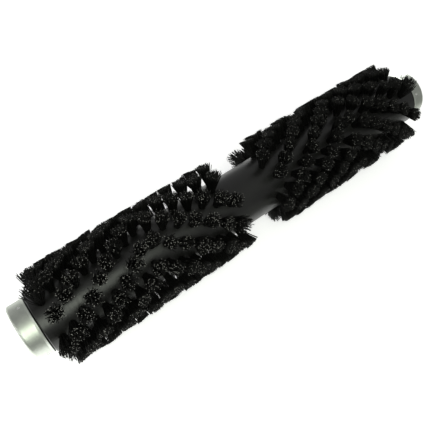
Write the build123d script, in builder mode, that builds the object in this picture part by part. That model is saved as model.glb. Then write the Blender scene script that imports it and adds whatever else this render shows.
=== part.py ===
"""Cylindrical scrub brush of a wet and dry floor scrubber, in millimetres.

The brush spins about +Y, with +Z up and the origin on its axis at mid length. The left end is at -Y
and the right end at +Y. An angle round the brush is counted from +Z towards +X. A station is a
distance along the axis from mid length, the same for both ends.
"""

import os
from math import cos, radians, sin

from build123d import *

LEFT, RIGHT = "left", "right"
SIDES = {LEFT: -1, RIGHT: 1}

# Driving dimensions
brush_diameter = 64.0
tube_diameter = 38.0
tube_bore = 20.0
tube_length = 300.0

row_count = 10
tufts_per_row = 16
tuft_pitch = 8.0
field_centre = 79.0
row_climb = 1.5
first_row_angle = 10.7

hole_diameter = 4.4
hole_depth = 7.0
tuft_root_diameter = 3.8
tuft_tip_diameter = 7.6
anchor_size = (3.9, 0.5, 1.8)

collar_diameter = 36.0
collar_length = 11.5
collar_edge_radius = 1.8
land_diameter = 36.8
land_width = 1.5
relief_width = 0.6
relief_diameter = 34.6
spigot_length = 28.0
fit_gap = 0.03

bearing_outer_diameter = 28.0
bearing_bore = 12.0
bearing_width = 8.0
ball_diameter = 4.76
ball_count = 8
bearing_seat_depth = 2.0

grub_screw_diameter = 2.0
grub_screw_count = 3
grub_screw_offset = 4.7
grub_screw_angles = {LEFT: -21.0, RIGHT: 46.0}

# Sizes that follow from them
tube_radius = tube_diameter / 2
brush_radius = brush_diameter / 2
row_step = 360 / row_count
tube_end = tube_length / 2
collar_end = tube_end + collar_length
collar_radius = collar_diameter / 2
land_radius = land_diameter / 2
relief_radius = relief_diameter / 2
spigot_radius = tube_bore / 2 - fit_gap
seat_radius = bearing_outer_diameter / 2
seat_floor = tube_end + bearing_seat_depth
bearing_centre = seat_floor + bearing_width / 2

# Bearing section
ball_radius = ball_diameter / 2
race_radius = ball_radius + 0.06
ball_circle_radius = (bearing_outer_diameter + bearing_bore) / 4
outer_shoulder_radius = ball_circle_radius + 1.6
inner_shoulder_radius = ball_circle_radius - 1.6
seal_thickness = 0.4
seal_recess = 0.5
seal_inset = 0.05


def radial_plane(angle, station, radius):
    """Plane on the brush at a radius, its normal pointing outwards and its X along the brush."""
    outward = (sin(radians(angle)), 0, cos(radians(angle)))
    origin = (radius * outward[0], station, radius * outward[2])
    return Plane(origin=origin, x_dir=(0, 1, 0), z_dir=outward)


def tuft_planes(side, row):
    """Tuft places of one row: a V about the field's centre. Every other row stands half a pitch on."""
    stagger = 0.0 if row % 2 else 0.5
    distances = [(step + stagger - tufts_per_row / 2) * tuft_pitch for step in range(tufts_per_row)]
    apex = first_row_angle + row * row_step
    return [
        radial_plane(apex + row_climb * abs(distance), SIDES[side] * field_centre + distance, tube_radius)
        for distance in distances
    ]


def all_tuft_planes(side):
    return [plane for row in range(row_count) for plane in tuft_planes(side, row)]


def turned(side, *profile):
    """Closed (radius, station) outline turned about the brush's axis on one side."""
    with BuildPart() as piece:
        with BuildSketch(Plane.XY):
            with BuildLine():
                Polyline(*[(radius, SIDES[side] * station) for radius, station in profile], close=True)
            make_face()
        revolve(axis=Axis.Y)
    return piece


def save(piece, name):
    piece.part.label = name
    export_step(piece.part, f"parts/{name}.step")


def core_tube():
    """Moulded tube, drilled with a blind hole for every tuft and left smooth round the middle."""
    end_chamfer = 0.4
    with BuildPart() as tube:
        with BuildSketch(Plane.XZ):
            Circle(tube_radius)
            Circle(tube_bore / 2, mode=Mode.SUBTRACT)
        extrude(amount=tube_end, both=True)
        rims = tube.edges().filter_by(GeomType.CIRCLE).group_by(SortBy.RADIUS)[-1]
        chamfer(rims, length=end_chamfer)
        with Locations(*all_tuft_planes(LEFT), *all_tuft_planes(RIGHT)):
            Hole(radius=hole_diameter / 2, depth=hole_depth)
    return tube


# The fold of a tuft stands just off the floor of its hole, and the anchor lies in the fold.
root_length = hole_depth - 0.3
anchor_gap = 0.2
anchor_height = -root_length + 0.8 + anchor_gap + anchor_size[2] / 2


def tuft():
    """One bundle: a folded root with a slot for its anchor, and a flared head trimmed to the brush."""
    head_length = brush_radius - tube_radius
    with BuildPart() as bundle:
        Cylinder(tuft_root_diameter / 2, root_length, align=(Align.CENTER, Align.CENTER, Align.MAX))
        Cone(
            tuft_root_diameter / 2,
            tuft_tip_diameter / 2,
            head_length,
            align=(Align.CENTER, Align.CENTER, Align.MIN),
        )
        with Locations((0, 0, anchor_height)):
            Box(
                tuft_root_diameter * 2,
                anchor_size[1] + 2 * anchor_gap,
                anchor_size[2] + 2 * anchor_gap,
                mode=Mode.SUBTRACT,
            )
        with Locations((0, 0, -tube_radius)):
            Cylinder(brush_radius, tuft_tip_diameter * 2, rotation=(0, 90, 0), mode=Mode.INTERSECT)
    return bundle


def tuft_row(bundle, side, row):
    with BuildPart() as tufts:
        with Locations(*tuft_planes(side, row)):
            add(bundle.part)
    return tufts


def tuft_anchors(side):
    """Flat wire anchors that hold the folded bundles down in their holes."""
    with BuildPart() as anchors:
        with Locations(*all_tuft_planes(side)):
            with Locations((0, 0, anchor_height)):
                Box(*anchor_size)
    return anchors


# End hub: a collar outside the tube and a spigot inside it, closed in between
nose_floor = tube_end - 2.0
nose_radius = 9.5
core_floor = nose_floor - 3.0
core_radius = 6.5
spigot_end = tube_end - spigot_length
lead_in = 0.8
ring_groove_station = tube_end - 4.0
ring_groove_width = 1.9
o_ring_radius = 0.68
ring_groove_radius = spigot_radius - 2 * o_ring_radius - 0.04


def end_hub(side):
    """Turned housing: the bearing sits in the collar, and the spigot is pressed into the tube.

    A narrow land on the collar tapers down away from the tube, with a relief groove between the two.
    """
    sign = SIDES[side]
    mouth_chamfer = 0.4
    land_flat = 0.3
    land_start = tube_end + relief_width
    groove_near = ring_groove_station - ring_groove_width / 2
    groove_far = ring_groove_station + ring_groove_width / 2
    with BuildPart() as hub:
        with BuildSketch(Plane.XY):
            with BuildLine():
                Polyline(
                    (core_radius, sign * spigot_end),
                    (spigot_radius - lead_in, sign * spigot_end),
                    (spigot_radius, sign * (spigot_end + lead_in)),
                    (spigot_radius, sign * groove_near),
                    (ring_groove_radius, sign * groove_near),
                    (ring_groove_radius, sign * groove_far),
                    (spigot_radius, sign * groove_far),
                    (spigot_radius, sign * tube_end),
                    (relief_radius, sign * tube_end),
                    (relief_radius, sign * land_start),
                    (land_radius, sign * land_start),
                    (land_radius, sign * (land_start + land_flat)),
                    (collar_radius, sign * (land_start + land_width)),
                    (collar_radius, sign * (collar_end - collar_edge_radius)),
                )
                RadiusArc(
                    (collar_radius, sign * (collar_end - collar_edge_radius)),
                    (collar_radius - collar_edge_radius, sign * collar_end),
                    -sign * collar_edge_radius,
                )
                Polyline(
                    (collar_radius - collar_edge_radius, sign * collar_end),
                    (seat_radius + mouth_chamfer, sign * collar_end),
                    (seat_radius, sign * (collar_end - mouth_chamfer)),
                    (seat_radius, sign * seat_floor),
                    (nose_radius, sign * seat_floor),
                    (nose_radius, sign * nose_floor),
                    (0, sign * nose_floor),
                    (0, sign * core_floor),
                    (core_radius, sign * core_floor),
                    (core_radius, sign * spigot_end),
                )
            make_face()
        revolve(axis=Axis.Y)
        with Locations(*grub_screw_planes(side, collar_radius)):
            Hole(radius=grub_screw_diameter / 2, depth=collar_radius - seat_radius + 0.5)
    return hub


def grub_screw_planes(side, radius):
    angles = [grub_screw_angles[side] + 360 / grub_screw_count * step for step in range(grub_screw_count)]
    return [radial_plane(angle, SIDES[side] * (tube_end + grub_screw_offset), radius) for angle in angles]


def hub_grub_screws(side):
    """Socket grub screws, threads left plain, that bear on the outer ring of the bearing."""
    sunk = 0.15
    socket_across_corners = 1.05
    socket_depth = 0.9
    outer_radius = collar_radius - sunk
    length = outer_radius - seat_radius - fit_gap
    with BuildPart() as screws:
        with Locations(*grub_screw_planes(side, outer_radius)):
            Cylinder(
                grub_screw_diameter / 2 - fit_gap, length, align=(Align.CENTER, Align.CENTER, Align.MAX)
            )
        for plane in grub_screw_planes(side, outer_radius):
            with BuildSketch(plane):
                RegularPolygon(socket_across_corners / 2, 6)
            extrude(amount=-socket_depth, mode=Mode.SUBTRACT)
    return screws


def hub_o_ring(side):
    """Ring between the spigot and the tube's bore, which keeps water out of the tube."""
    with BuildPart() as ring:
        with BuildSketch(Plane.XY):
            with Locations((spigot_radius - o_ring_radius, SIDES[side] * ring_groove_station)):
                Circle(o_ring_radius)
        revolve(axis=Axis.Y)
    return ring


def bearing_outer_ring(side):
    centre = SIDES[side] * bearing_centre
    recess_radius = outer_shoulder_radius + seal_recess
    outside_radius = seat_radius - fit_gap
    with BuildPart() as ring:
        with BuildSketch(Plane.XY):
            with Locations(((outer_shoulder_radius + outside_radius) / 2, centre)):
                Rectangle(outside_radius - outer_shoulder_radius, bearing_width)
            recess_stations = [centre + end * (bearing_width - seal_recess) / 2 for end in (-1, 1)]
            with Locations(*[(outer_shoulder_radius, station) for station in recess_stations]):
                Rectangle(2 * (recess_radius - outer_shoulder_radius), seal_recess, mode=Mode.SUBTRACT)
            with Locations((ball_circle_radius, centre)):
                Circle(race_radius, mode=Mode.SUBTRACT)
        revolve(axis=Axis.Y)
        bevel_outer_rims(ring)
    return ring


def bearing_inner_ring(side):
    """Ring that sits still on the machine's axle stub while the brush turns round it."""
    centre = SIDES[side] * bearing_centre
    with BuildPart() as ring:
        with BuildSketch(Plane.XY):
            with Locations(((bearing_bore / 2 + inner_shoulder_radius) / 2, centre)):
                Rectangle(inner_shoulder_radius - bearing_bore / 2, bearing_width)
            with Locations((ball_circle_radius, centre)):
                Circle(race_radius, mode=Mode.SUBTRACT)
        revolve(axis=Axis.Y)
    return ring


def bevel_outer_rims(ring):
    rims = ring.edges().filter_by(GeomType.CIRCLE).group_by(SortBy.RADIUS)[-1]
    chamfer(rims, length=0.3)


def ball_plane(side):
    return Plane.XZ.offset(-SIDES[side] * bearing_centre)


def bearing_balls(side):
    with BuildPart(ball_plane(side)) as balls:
        with PolarLocations(ball_circle_radius, ball_count):
            Sphere(ball_radius)
    return balls


def bearing_cage(side):
    """Crown cage: a closed ring on the inner side, open pockets that the balls snap into."""
    sign = SIDES[side]
    pocket_radius = ball_radius + 0.15
    cage_back = bearing_centre - 3.3
    cage_front = bearing_centre + 0.9
    half_depth = 1.0
    inner, outer = ball_circle_radius - half_depth, ball_circle_radius + half_depth
    with BuildPart(ball_plane(side)) as cage:
        with BuildSketch(Plane.XY):
            with Locations((ball_circle_radius, sign * (cage_back + cage_front) / 2)):
                Rectangle(outer - inner, cage_front - cage_back)
        revolve(axis=Axis.Y)
        with PolarLocations(ball_circle_radius, ball_count):
            Sphere(pocket_radius, mode=Mode.SUBTRACT)
    return cage


def bearing_seal(side, face):
    """Rubber shield in the outer ring's recess, clear of the inner ring. Face is -1 or 1."""
    near = bearing_centre + face * (bearing_width / 2 - seal_inset)
    far = near - face * seal_thickness
    inner = inner_shoulder_radius + 0.3
    outer = outer_shoulder_radius + seal_recess - fit_gap
    return turned(side, (inner, near), (outer, near), (outer, far), (inner, far))


def end_seal(side):
    """Dust cover pressed into the collar's mouth, with a lip that faces the axle stub."""
    bore = bearing_bore / 2 + 0.4
    back = bearing_centre + bearing_width / 2 + 0.1
    front = collar_end - 0.3
    rim = seat_radius - fit_gap
    lip_root = bore + 1.6
    web_front = back + 0.7
    return turned(
        side,
        (bore, back),
        (rim, back),
        (rim, front),
        (rim - 1.2, front),
        (rim - 1.6, web_front),
        (lip_root, web_front),
        (bore + 0.5, front),
        (bore, front),
    )


os.makedirs("parts", exist_ok=True)

save(core_tube(), "core_tube")
one_tuft = tuft()
for side in SIDES:
    for row in range(row_count):
        save(tuft_row(one_tuft, side, row), f"{side}_tuft_row_{row + 1:02d}")
    save(tuft_anchors(side), f"{side}_tuft_anchors")
    save(end_hub(side), f"{side}_end_hub")
    save(hub_o_ring(side), f"{side}_hub_o_ring")
    save(hub_grub_screws(side), f"{side}_hub_grub_screws")
    save(bearing_outer_ring(side), f"{side}_bearing_outer_ring")
    save(bearing_inner_ring(side), f"{side}_bearing_inner_ring")
    save(bearing_balls(side), f"{side}_bearing_balls")
    save(bearing_cage(side), f"{side}_bearing_cage")
    save(bearing_seal(side, -1), f"{side}_bearing_inner_seal")
    save(bearing_seal(side, 1), f"{side}_bearing_outer_seal")
    save(end_seal(side), f"{side}_end_seal")
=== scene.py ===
"""Looks of the roller scrub brush: filament tufts, plastics, metals, floor, light and camera."""

import math

import bpy
import numpy as np
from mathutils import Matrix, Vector


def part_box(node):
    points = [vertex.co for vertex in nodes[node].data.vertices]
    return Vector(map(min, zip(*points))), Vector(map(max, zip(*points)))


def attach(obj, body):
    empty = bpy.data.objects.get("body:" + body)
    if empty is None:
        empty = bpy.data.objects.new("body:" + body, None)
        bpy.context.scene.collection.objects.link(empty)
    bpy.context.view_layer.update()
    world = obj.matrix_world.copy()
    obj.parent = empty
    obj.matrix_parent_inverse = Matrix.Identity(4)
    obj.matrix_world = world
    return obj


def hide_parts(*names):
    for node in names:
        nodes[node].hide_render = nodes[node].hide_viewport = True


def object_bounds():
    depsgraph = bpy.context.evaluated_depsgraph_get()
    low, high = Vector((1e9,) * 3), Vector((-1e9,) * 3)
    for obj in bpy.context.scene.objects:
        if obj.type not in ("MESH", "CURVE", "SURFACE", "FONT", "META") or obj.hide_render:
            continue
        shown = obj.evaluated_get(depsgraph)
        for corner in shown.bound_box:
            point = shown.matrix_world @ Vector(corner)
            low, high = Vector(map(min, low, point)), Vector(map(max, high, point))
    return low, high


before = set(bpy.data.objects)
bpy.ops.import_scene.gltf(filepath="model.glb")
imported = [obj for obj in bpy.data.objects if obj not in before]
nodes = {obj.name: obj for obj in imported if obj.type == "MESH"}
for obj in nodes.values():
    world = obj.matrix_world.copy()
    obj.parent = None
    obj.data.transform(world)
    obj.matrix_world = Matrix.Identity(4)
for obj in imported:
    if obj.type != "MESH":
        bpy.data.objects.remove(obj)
cad_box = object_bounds()
MM = 0.001

tube_low, tube_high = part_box("core_tube")
tube_radius = (tube_high.x - tube_low.x) / 2
brush_radius = max(abs(value) for corner in cad_box for value in (corner.x, corner.z))
TUFT_ROWS = sorted(name for name in nodes if "_tuft_row_" in name)


# Shader nodes

def new_material(name):
    """A Principled material and its node tree, with the object's own coordinates in metres."""
    material = bpy.data.materials.new(name)
    material.use_nodes = True
    tree = material.node_tree
    shader = tree.nodes["Principled BSDF"]
    place = tree.nodes.new("ShaderNodeTexCoord").outputs["Object"]
    return material, tree, shader, place


def stretched(tree, place, scale):
    """Coordinates times a scale for each axis."""
    mapping = tree.nodes.new("ShaderNodeMapping")
    mapping.inputs["Scale"].default_value = scale
    tree.links.new(place, mapping.inputs["Vector"])
    return mapping.outputs["Vector"]


def noise(tree, place, size, detail, roughness=0.55):
    """Noise whose features are about size metres across."""
    node = tree.nodes.new("ShaderNodeTexNoise")
    node.inputs["Scale"].default_value = 1 / size
    node.inputs["Detail"].default_value = detail
    node.inputs["Roughness"].default_value = roughness
    tree.links.new(place, node.inputs["Vector"])
    return node.outputs["Fac"]


def between(tree, factor, low, high, start=0.3, stop=0.7):
    """A number that runs from low to high as the factor runs from start to stop."""
    node = tree.nodes.new("ShaderNodeMapRange")
    for key, value in (("From Min", start), ("From Max", stop), ("To Min", low), ("To Max", high)):
        node.inputs[key].default_value = value
    tree.links.new(factor, node.inputs["Value"])
    return node.outputs["Result"]


def tinted(tree, factor, stops):
    """A colour ramp through (position, (r, g, b)) stops."""
    node = tree.nodes.new("ShaderNodeValToRGB")
    ramp = node.color_ramp
    while len(ramp.elements) < len(stops):
        ramp.elements.new(0.5)
    for element, (position, colour) in zip(ramp.elements, stops):
        element.position = position
        element.color = (*colour, 1)
    tree.links.new(factor, node.inputs["Fac"])
    return node.outputs["Color"]


def worked_out(tree, operation, *terms):
    """A Math node's result. A term is a socket or a plain number."""
    node = tree.nodes.new("ShaderNodeMath")
    node.operation = operation
    for socket, term in zip(node.inputs, terms):
        if isinstance(term, bpy.types.NodeSocket):
            tree.links.new(term, socket)
        else:
            socket.default_value = term
    return node.outputs["Value"]


def from_station(tree, place, station):
    """How far a point is, along the brush, from a station that lies as far out at either end."""
    axes = tree.nodes.new("ShaderNodeSeparateXYZ")
    tree.links.new(place, axes.inputs["Vector"])
    outwards = worked_out(tree, "ABSOLUTE", axes.outputs["Y"])
    return worked_out(tree, "ABSOLUTE", worked_out(tree, "SUBTRACT", outwards, station))


def dimmed(tree, colour, factor):
    """A colour times a factor."""
    node = tree.nodes.new("ShaderNodeVectorMath")
    node.operation = "SCALE"
    tree.links.new(colour, node.inputs["Vector"])
    tree.links.new(factor, node.inputs["Scale"])
    return node.outputs["Vector"]


def bumped(tree, shader, height, distance, strength=1.0):
    """Lets a height from 0 to 1 raise the shader's surface by up to the distance."""
    node = tree.nodes.new("ShaderNodeBump")
    node.inputs["Strength"].default_value = strength
    node.inputs["Distance"].default_value = distance
    tree.links.new(height, node.inputs["Height"])
    tree.links.new(node.outputs["Normal"], shader.inputs["Normal"])


# Materials of the CAD nodes

TURNED_LINE_SIZE = 0.22 * MM
TURNED_LINE_DEPTH = 0.004 * MM

# Painted shade: the groove beside the tube is painted near black, as shade falls in it. The numbers give
# how far its middle is from the tube's end, how far it reaches to each side, the edge over which it
# fades out, and what it leaves of the metal's colour
GROOVE_SHADE_OFFSET = 0.35 * MM
GROOVE_SHADE_REACH = 0.4 * MM
GROOVE_SHADE_EDGE = 0.1 * MM
GROOVE_SHADE_FACTOR = 0.02


def core_plastic():
    """Semi-gloss black moulding with a faint mould texture and wipe marks round the tube."""
    material, tree, shader, place = new_material("core_plastic")
    shader.inputs["IOR"].default_value = 1.55
    cloud = noise(tree, place, 18 * MM, detail=5)
    wipes = noise(tree, stretched(tree, place, (1, 9, 1)), 12 * MM, detail=6, roughness=0.65)
    grain = noise(tree, place, 0.6 * MM, detail=2)
    tree.links.new(
        tinted(tree, cloud, [(0.35, (0.005, 0.005, 0.0045)), (0.7, (0.010, 0.010, 0.009))]),
        shader.inputs["Base Color"],
    )
    tree.links.new(between(tree, wipes, 0.29, 0.40), shader.inputs["Roughness"])
    bumped(tree, shader, grain, 0.02 * MM, strength=0.5)
    return material


def turned_metal(name, dark, light, smooth, rough, shaded_groove=False):
    """Metal with fine lines left by turning about the brush's axis, and faint stains. It may have
    painted shade in the groove beside the tube.
    """
    material, tree, shader, place = new_material(name)
    shader.inputs["Metallic"].default_value = 1.0
    lines = noise(tree, stretched(tree, place, (0.02, 1, 0.02)), TURNED_LINE_SIZE, detail=3)
    stain = noise(tree, place, 6 * MM, detail=5, roughness=0.6)
    colour = tinted(tree, stain, [(0.3, dark), (0.65, light)])
    # Painted shade: the metal's colour is darkened to near black in the groove beside the tube
    if shaded_groove:
        distance = from_station(tree, place, tube_high.y + GROOVE_SHADE_OFFSET)
        unshaded = between(
            tree, distance, GROOVE_SHADE_FACTOR, 1, start=GROOVE_SHADE_REACH, stop=GROOVE_SHADE_REACH + GROOVE_SHADE_EDGE
        )
        colour = dimmed(tree, colour, unshaded)
    tree.links.new(colour, shader.inputs["Base Color"])
    marks = worked_out(tree, "MULTIPLY", lines, stain)
    tree.links.new(
        between(tree, marks, smooth, rough, start=0.12, stop=0.42), shader.inputs["Roughness"]
    )
    bumped(tree, shader, lines, TURNED_LINE_DEPTH)
    return material


def moulded(name, dark, light, smooth, rough):
    """Plain moulded rubber or plastic with a slight grain."""
    material, tree, shader, place = new_material(name)
    cloud = noise(tree, place, 4 * MM, detail=4)
    grain = noise(tree, place, 0.4 * MM, detail=2)
    tree.links.new(tinted(tree, cloud, [(0.3, dark), (0.7, light)]), shader.inputs["Base Color"])
    tree.links.new(between(tree, cloud, smooth, rough), shader.inputs["Roughness"])
    bumped(tree, shader, grain, 0.01 * MM, strength=0.6)
    return material


def paint(name, material):
    """Puts one material on a CAD node."""
    slots = nodes[name].data.materials
    slots.clear()
    slots.append(material)


NODE_FINISHES = {
    "core_tube": core_plastic(),
    "end_hub": turned_metal(
        "hub_aluminium", (0.48, 0.51, 0.46), (0.60, 0.63, 0.57), 0.38, 0.52, shaded_groove=True
    ),
    "hub_grub_screws": turned_metal("screw_steel", (0.93, 0.93, 0.92), (0.97, 0.97, 0.96), 0.5, 0.6),
    "ring": turned_metal("bearing_steel", (0.5, 0.5, 0.5), (0.62, 0.62, 0.63), 0.12, 0.22),
    "balls": turned_metal("ball_steel", (0.6, 0.6, 0.62), (0.7, 0.7, 0.72), 0.05, 0.1),
    "anchors": turned_metal("anchor_wire", (0.45, 0.44, 0.42), (0.6, 0.59, 0.57), 0.25, 0.4),
    "cage": moulded("cage_nylon", (0.55, 0.52, 0.42), (0.66, 0.63, 0.53), 0.4, 0.5),
    "seal": moulded("seal_rubber", (0.012, 0.012, 0.012), (0.028, 0.028, 0.028), 0.5, 0.7),
    "o_ring": moulded("o_ring_rubber", (0.012, 0.012, 0.012), (0.024, 0.024, 0.024), 0.4, 0.6),
}


def finish_of(name):
    """The longest key that the node's name ends in, so an o_ring isn't taken for a bearing ring."""
    return NODE_FINISHES[max((key for key in NODE_FINISHES if name.endswith(key)), key=len)]


for name in nodes:
    if name not in TUFT_ROWS:
        paint(name, finish_of(name))


# Tufts

ALONG = np.array([0.0, 1.0, 0.0])
WELD_DECIMALS = 6

# The filaments of a tuft. A filament's thickness varies by a factor in the range, and its steps crowd
# towards its tip by the power STEP_CROWDING.
FILAMENTS = 140
FILAMENT_RADIUS = 0.2 * MM
THICKNESS_RANGE = (0.88, 1.1)
FILAMENT_SIDES = 5
FILAMENT_STEPS = 6
STEP_CROWDING = 0.9
BURIED = 2.5 * MM

# How a tuft widens from the hole to the tips, faster near the tips by the power FLARE
ROOT_RADIUS = 1.9 * MM
TIP_RADIUS = 5.0 * MM
DISC_JITTER = 0.05
SPREAD_RANGE = (0.9, 1.06)
FLARE = 1.15

# How untidy the tips are. Scatter, short filaments and bow grow with powers of a tuft's fray. STRAYS
# is a share of the filaments, and so is the share of tips painted pale as highlights.
FRAY_RANGE = (0.9, 1.06)
LEFT_END_FRAY = 1.14
TIP_SCATTER = 0.4 * MM
BOW = 0.2 * MM
SCATTER_POWER = 4
BOW_POWER = 6
STRAYS = 0.1
STRAY_SPREAD = 1.1 * MM
# Painted highlights: the share of tips painted pale, larger on the left field, which the key light falls
# on
TIP_GLINT_SHARE = {"left": 0.25, "right": 0.1}

# How unevenly the tips were trimmed, and how far past the brush's radius the highest may stand
TRIM_SPREAD = 0.3 * MM
TRIM_TILT = 0.5 * MM
TRIM_ERROR = 0.3 * MM
TRIM_HIGHEST = 0.2 * MM

# All tufts are swept a little towards +Y, and those of a field fan out from its middle. Single tufts
# near a field's ends are bent further, by (along the brush, round it) in millimetres, or frayed more.
# They are named by their row and their place in it along +Y: from 0 for the first tuft, or back from
# -1 for the last.
SWEPT = 0.4 * MM
FANNED = 1.0 * MM
RANDOM_LEAN = 0.4 * MM
BENT = {
    ("left_tuft_row_01", 0): (1.5, 0),
    ("left_tuft_row_01", -1): (1.0, 0),
    ("left_tuft_row_02", 0): (1.5, 0),
    ("left_tuft_row_06", 0): (3.5, 0),
    ("left_tuft_row_07", 0): (2.0, 0),
    ("left_tuft_row_08", 0): (0, -5.0),
    ("left_tuft_row_08", -1): (3.0, 0),
    ("left_tuft_row_09", 0): (0.2, 0.2),
    ("left_tuft_row_10", -1): (1.5, 0.7),
    ("right_tuft_row_01", -2): (-1.5, 0),
    ("right_tuft_row_01", -1): (-4.0, 0),
    ("right_tuft_row_02", 0): (6.0, 3.0),
    ("right_tuft_row_06", 0): (1.5, -8.0),
    ("right_tuft_row_06", 1): (2.0, -5.0),
    ("right_tuft_row_07", -1): (-4.5, 0),
    ("right_tuft_row_08", -1): (0.5, -4.5),
    ("right_tuft_row_09", -2): (0.5, -4.0),
    ("right_tuft_row_09", -1): (3.5, -5.5),
    ("right_tuft_row_10", -1): (1.0, 2.5),
}
FRAYED = {
    ("left_tuft_row_06", 0): 1.3,
    ("left_tuft_row_07", 0): 1.25,
    ("left_tuft_row_08", 0): 1.2,
    ("left_tuft_row_10", -1): 1.12,
    ("right_tuft_row_06", 0): 1.1,
    ("right_tuft_row_08", -1): 1.15,
    ("right_tuft_row_09", -1): 1.1,
}


def nylon():
    """Black nylon filament: darker and lighter lengths, and a drawn surface."""
    material, tree, shader, place = new_material("bristle_nylon")
    shader.inputs["Specular IOR Level"].default_value = 0.16
    lengths = noise(tree, place, 2.2 * MM, detail=3)
    drawn = noise(tree, place, 0.4 * MM, detail=2)
    tree.links.new(
        tinted(tree, lengths, [(0.3, (0.0032, 0.0032, 0.0029)), (0.75, (0.0075, 0.0074, 0.0067))]),
        shader.inputs["Base Color"],
    )
    tree.links.new(between(tree, drawn, 0.42, 0.6), shader.inputs["Roughness"])
    return material


def glinting_tips():
    """The cut ends painted pale, as highlights of light on them."""
    material, tree, shader, place = new_material("bristle_tip")
    glint_pattern = noise(tree, place, 1.2 * MM, detail=2)
    tree.links.new(
        tinted(tree, glint_pattern, [(0.35, (0.14, 0.137, 0.127)), (0.65, (0.45, 0.44, 0.41))]),
        shader.inputs["Base Color"],
    )
    tree.links.new(between(tree, glint_pattern, 0.45, 0.7), shader.inputs["Roughness"])
    return material


def tufts_of(name):
    """(station, angle) of every tuft in a CAD row, found from the joined-up parts of its mesh."""
    mesh = nodes[name].data
    points = np.array([vertex.co for vertex in mesh.vertices], float)
    seen = {}
    owner = [
        seen.setdefault(tuple(np.round(point, WELD_DECIMALS)), index)
        for index, point in enumerate(points)
    ]

    def root(index):
        while owner[index] != index:
            owner[index] = owner[owner[index]]
            index = owner[index]
        return index

    for polygon in mesh.polygons:
        first = root(polygon.vertices[0])
        for vertex in polygon.vertices[1:]:
            owner[root(vertex)] = first
    islands = {}
    for index, point in enumerate(points):
        islands.setdefault(root(index), []).append(point)
    tufts = []
    for island in islands.values():
        cloud = np.array(island)
        station = (cloud[:, 1].min() + cloud[:, 1].max()) / 2
        middle = cloud.mean(axis=0)
        tufts.append((station, math.atan2(middle[0], middle[2])))
    return sorted(tufts)


def scattered(count, rng):
    """Points spread evenly over a unit disc, a little out of place."""
    golden_angle = math.pi * (3 - math.sqrt(5))
    index = np.arange(count) + 0.5
    radius = np.sqrt(index / count)
    angle = index * golden_angle + rng.uniform(0, 2 * math.pi)
    disc = np.stack([radius * np.cos(angle), radius * np.sin(angle)], axis=1)
    return disc + rng.normal(0, DISC_JITTER, (count, 2))


def tuft_filaments(station, angle, lean, fray, rng):
    """Centre lines of one tuft's filaments, as an array of filaments by steps by 3.

    Each filament was trimmed at the brush's radius while its tuft stood straight, and keeps its
    length as the tuft leans. Pairs of numbers are (along the brush, round it).
    """
    outward = np.array([math.sin(angle), 0, math.cos(angle)])
    across = np.cross(ALONG, outward)
    disc = scattered(FILAMENTS, rng)
    root = disc * ROOT_RADIUS
    spread = root * (TIP_RADIUS / ROOT_RADIUS) * fray * rng.uniform(*SPREAD_RANGE, (FILAMENTS, 1))
    tip = spread + lean + rng.normal(0, TIP_SCATTER * fray**SCATTER_POWER, spread.shape)
    strays = rng.random(FILAMENTS) < STRAYS
    tip[strays] += rng.normal(0, STRAY_SPREAD, (int(strays.sum()), 2))

    start = tube_radius - BURIED
    free_length = brush_radius - tube_radius
    straight, bent = spread - root, spread - root + lean
    trimmed = np.sqrt(brush_radius**2 - spread[:, 1] ** 2) - tube_radius
    free_height = np.sqrt(trimmed**2 + (straight**2).sum(axis=1) - (bent**2).sum(axis=1))
    tilt = disc @ rng.normal(0, TRIM_TILT, 2) - abs(rng.normal(0, TRIM_ERROR))
    short = rng.exponential(TRIM_SPREAD * fray**SCATTER_POWER, FILAMENTS)
    top = tube_radius + free_height + np.minimum(tilt - short, TRIM_HIGHEST)

    steps = np.linspace(0, 1, FILAMENT_STEPS + 1) ** STEP_CROWDING
    free = np.clip((steps * (brush_radius - start) - BURIED) / free_length, 0, 1)
    bow = rng.normal(0, BOW * fray**BOW_POWER, (FILAMENTS, 1, 2)) * np.sin(math.pi * free)[None, :, None]
    offset = root[:, None] + (tip - root)[:, None] * (free**FLARE)[None, :, None] + bow
    height = start + (top[:, None] - start) * steps[None]
    return (
        height[..., None] * outward
        + (station + offset[..., 0])[..., None] * ALONG
        + offset[..., 1:2] * across
    )


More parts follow.
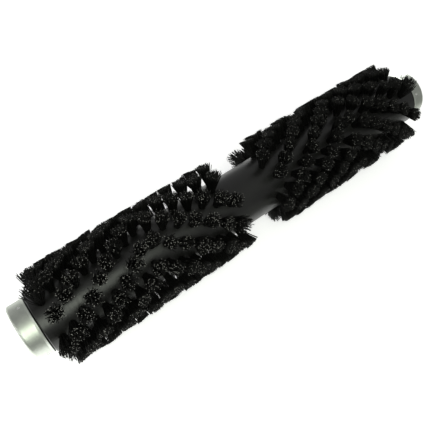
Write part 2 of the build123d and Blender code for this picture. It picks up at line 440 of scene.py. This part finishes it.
def tubes_mesh(name, lines, glint_share, rng):
    """One mesh of thin round tubes along the centre lines, closed at both ends.

    The second material goes on a share of the tips, painting them pale as highlights.
    """
    count, rings, _ = lines.shape
    direction = np.gradient(lines, axis=1)
    direction /= np.linalg.norm(direction, axis=2, keepdims=True)
    u = np.cross(direction, ALONG)
    u /= np.linalg.norm(u, axis=2, keepdims=True)
    v = np.cross(direction, u)
    spin = rng.uniform(0, 2 * math.pi, count)
    angles = spin[:, None] + np.arange(FILAMENT_SIDES) * 2 * math.pi / FILAMENT_SIDES
    cosine, sine = np.cos(angles)[:, None, :, None], np.sin(angles)[:, None, :, None]
    circle = cosine * u[:, :, None] + sine * v[:, :, None]
    thick = rng.uniform(*THICKNESS_RANGE, count)[:, None, None, None] * FILAMENT_RADIUS
    vertices = (lines[:, :, None] + circle * thick).reshape(-1, 3)

    ring = np.arange(FILAMENT_SIDES)
    ahead = (ring + 1) % FILAMENT_SIDES
    base = (np.arange(count)[:, None] * rings + np.arange(rings - 1)[None]) * FILAMENT_SIDES
    base = base[..., None]
    walls = np.stack(
        [base + ring, base + ahead, base + FILAMENT_SIDES + ahead, base + FILAMENT_SIDES + ring], axis=-1
    ).reshape(-1, 4)
    tips = ((np.arange(count) * rings + rings - 1) * FILAMENT_SIDES)[:, None] + ring
    roots = (np.arange(count) * rings * FILAMENT_SIDES)[:, None] + ring[::-1]
    mesh = bpy.data.meshes.new(name)
    mesh.from_pydata(vertices.tolist(), [], walls.tolist() + tips.tolist() + roots.tolist())

    smooth = np.zeros(len(mesh.polygons), bool)
    smooth[: len(walls)] = True
    mesh.polygons.foreach_set("use_smooth", smooth)
    slots = np.zeros(len(mesh.polygons), np.int32)
    # Painted highlights: the pale tip material goes on this share of the tips
    slots[len(walls) : len(walls) + count] = rng.random(count) < glint_share
    mesh.polygons.foreach_set("material_index", slots)
    mesh.update()
    return mesh


def bristle_row(name, seed, materials):
    """One row of tufts, each a bundle of filaments, in place of the CAD row's plain plugs."""
    rng = np.random.default_rng(seed)
    side = name.split("_")[0]
    tufts = tufts_of(name)
    first, last = tufts[0][0], tufts[-1][0]
    lines = []
    for index, (station, angle) in enumerate(tufts):
        lean = np.array([SWEPT + FANNED * (2 * station - first - last) / (last - first), 0])
        lean += rng.normal(0, RANDOM_LEAN, 2)
        fray = rng.uniform(*FRAY_RANGE)
        end_fray = LEFT_END_FRAY if side == "left" and index == 0 else 1
        for place in ((name, index), (name, index - len(tufts))):
            lean += np.array(BENT.get(place, (0, 0))) * MM
            end_fray = FRAYED.get(place, end_fray)
        lines.append(tuft_filaments(station, angle, lean, fray * end_fray, rng))
    piece_name = name.replace("tuft_row", "bristles")
    mesh = tubes_mesh(piece_name, np.concatenate(lines), TIP_GLINT_SHARE[side], rng)
    piece = bpy.data.objects.new(piece_name, mesh)
    bpy.context.scene.collection.objects.link(piece)
    for material in materials:
        piece.data.materials.append(material)
    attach(piece, "brush")
    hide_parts(name)


filament_materials = nylon(), glinting_tips()
for seed, name in enumerate(TUFT_ROWS):
    bristle_row(name, seed, filament_materials)


# Floor, light and camera

FLOOR_SIZE = 8.0
FLOOR_GAP = 0.2 * MM


def paper(name, dark, light, speckle_size, glow):
    """Matt paper that may glow, and its shader."""
    material, tree, shader, place = new_material(name)
    speckle = noise(tree, place, speckle_size, detail=3)
    tree.links.new(tinted(tree, speckle, [(0.3, dark), (0.7, light)]), shader.inputs["Base Color"])
    shader.inputs["Roughness"].default_value = 0.9
    shader.inputs["Emission Color"].default_value = (1, 1, 1, 1)
    shader.inputs["Emission Strength"].default_value = glow
    return material, shader


def floor():
    """White studio paper. It glows a little, so that the brush's own shadow stays faint."""
    bpy.ops.mesh.primitive_plane_add(size=FLOOR_SIZE, location=(0, 0, -brush_radius - FLOOR_GAP))
    plane = bpy.context.object
    plane.name = "floor"
    material, shader = paper("floor_paper", (0.90, 0.90, 0.90), (0.92, 0.92, 0.92), 0.3, 0.6)
    shader.inputs["Specular IOR Level"].default_value = 0.1
    plane.data.materials.append(material)


def card(name, low, high, height, dark, light, glow):
    """A card over the floor from (x, y) low to high, seen only in the brush's reflections."""
    bpy.ops.mesh.primitive_plane_add(size=1)
    plane = bpy.context.object
    plane.name = name
    plane.scale = (high[0] - low[0], high[1] - low[1], 1)
    plane.location = ((low[0] + high[0]) / 2, (low[1] + high[1]) / 2, height - brush_radius)
    plane.visible_camera = False
    plane.visible_shadow = False
    plane.visible_diffuse = False
    material, _ = paper(name, dark, light, 0.02, glow)
    plane.data.materials.append(material)


def surroundings(backdrop, left, right):
    """A dim studio round the object, brighter on its -X side, with a pale backdrop for the camera."""
    world = bpy.data.worlds.new("studio")
    world.use_nodes = True
    tree = world.node_tree
    room = tree.nodes["Background"]
    direction = tree.nodes.new("ShaderNodeTexCoord").outputs["Generated"]
    axes = tree.nodes.new("ShaderNodeSeparateXYZ")
    tree.links.new(direction, axes.inputs["Vector"])
    tree.links.new(
        between(tree, axes.outputs["X"], left, right, start=-1, stop=1), room.inputs["Strength"]
    )
    screen = tree.nodes.new("ShaderNodeBackground")
    screen.inputs["Strength"].default_value = backdrop
    for background in (room, screen):
        background.inputs["Color"].default_value = (1, 1, 1, 1)
    seen = tree.nodes.new("ShaderNodeLightPath").outputs["Is Camera Ray"]
    mix = tree.nodes.new("ShaderNodeMixShader")
    tree.links.new(seen, mix.inputs["Fac"])
    tree.links.new(room.outputs["Background"], mix.inputs[1])
    tree.links.new(screen.outputs["Background"], mix.inputs[2])
    tree.links.new(mix.outputs["Shader"], tree.nodes["World Output"].inputs["Surface"])
    bpy.context.scene.world = world


def aimed(name, data, place, target):
    """An object for a light's or camera's data, at a place and facing the target."""
    thing = bpy.data.objects.new(name, data)
    thing.location = place
    thing.rotation_euler = (Vector(target) - Vector(place)).to_track_quat("-Z", "Y").to_euler()
    bpy.context.scene.collection.objects.link(thing)
    return thing


def soft_light(name, place, target, size, power, colour=(1, 1, 1), only=None):
    """An area light that the camera doesn't see. With only, it lights that one CAD node."""
    data = bpy.data.lights.new(name, "AREA")
    data.shape = "RECTANGLE"
    data.size, data.size_y = size
    data.energy = power
    data.color = colour
    lamp = aimed(name, data, place, target)
    lamp.visible_camera = False
    if only:
        lit = bpy.data.collections.new(name + "_lit")
        lit.objects.link(nodes[only])
        lamp.light_linking.receiver_collection = lit


def camera(place, target, lens):
    """The scene's camera, with its focal length in millimetres."""
    data = bpy.data.cameras.new("camera")
    data.sensor_width = 36.0
    data.lens = lens
    data.clip_start = 0.01
    data.clip_end = 50
    bpy.context.scene.camera = aimed("camera", data, place, target)


floor()
card("grey_card", (0.058, -0.8), (0.9, 0.8), 1 * MM, (0.40, 0.41, 0.39), (0.46, 0.47, 0.45), 0)
card("white_card", (-0.06, -0.33), (0.105, -0.152), 2 * MM, (0.85, 0.85, 0.85), (0.9, 0.9, 0.9), 1.6)
surroundings(backdrop=0.95, left=0.42, right=0.24)
soft_light("key", (0.45, -0.25, 0.71), (0, -0.12, 0), (0.5, 0.5), 3.15, colour=(0.93, 1.0, 0.86))
soft_light("fill", (0.1, -0.9, 0.45), (0, -0.15, 0), (0.5, 0.4), 1.6)
soft_light("right_rim", (-0.33, 0.47, 0.09), (0, 0.157, 0), (0.4, 0.25), 1.8, only="right_end_hub")
camera((0.1453, -0.1350, 0.2764), (0, -0.0249, 0), 42.48)
bpy.context.scene.view_settings.view_transform = "Standard"
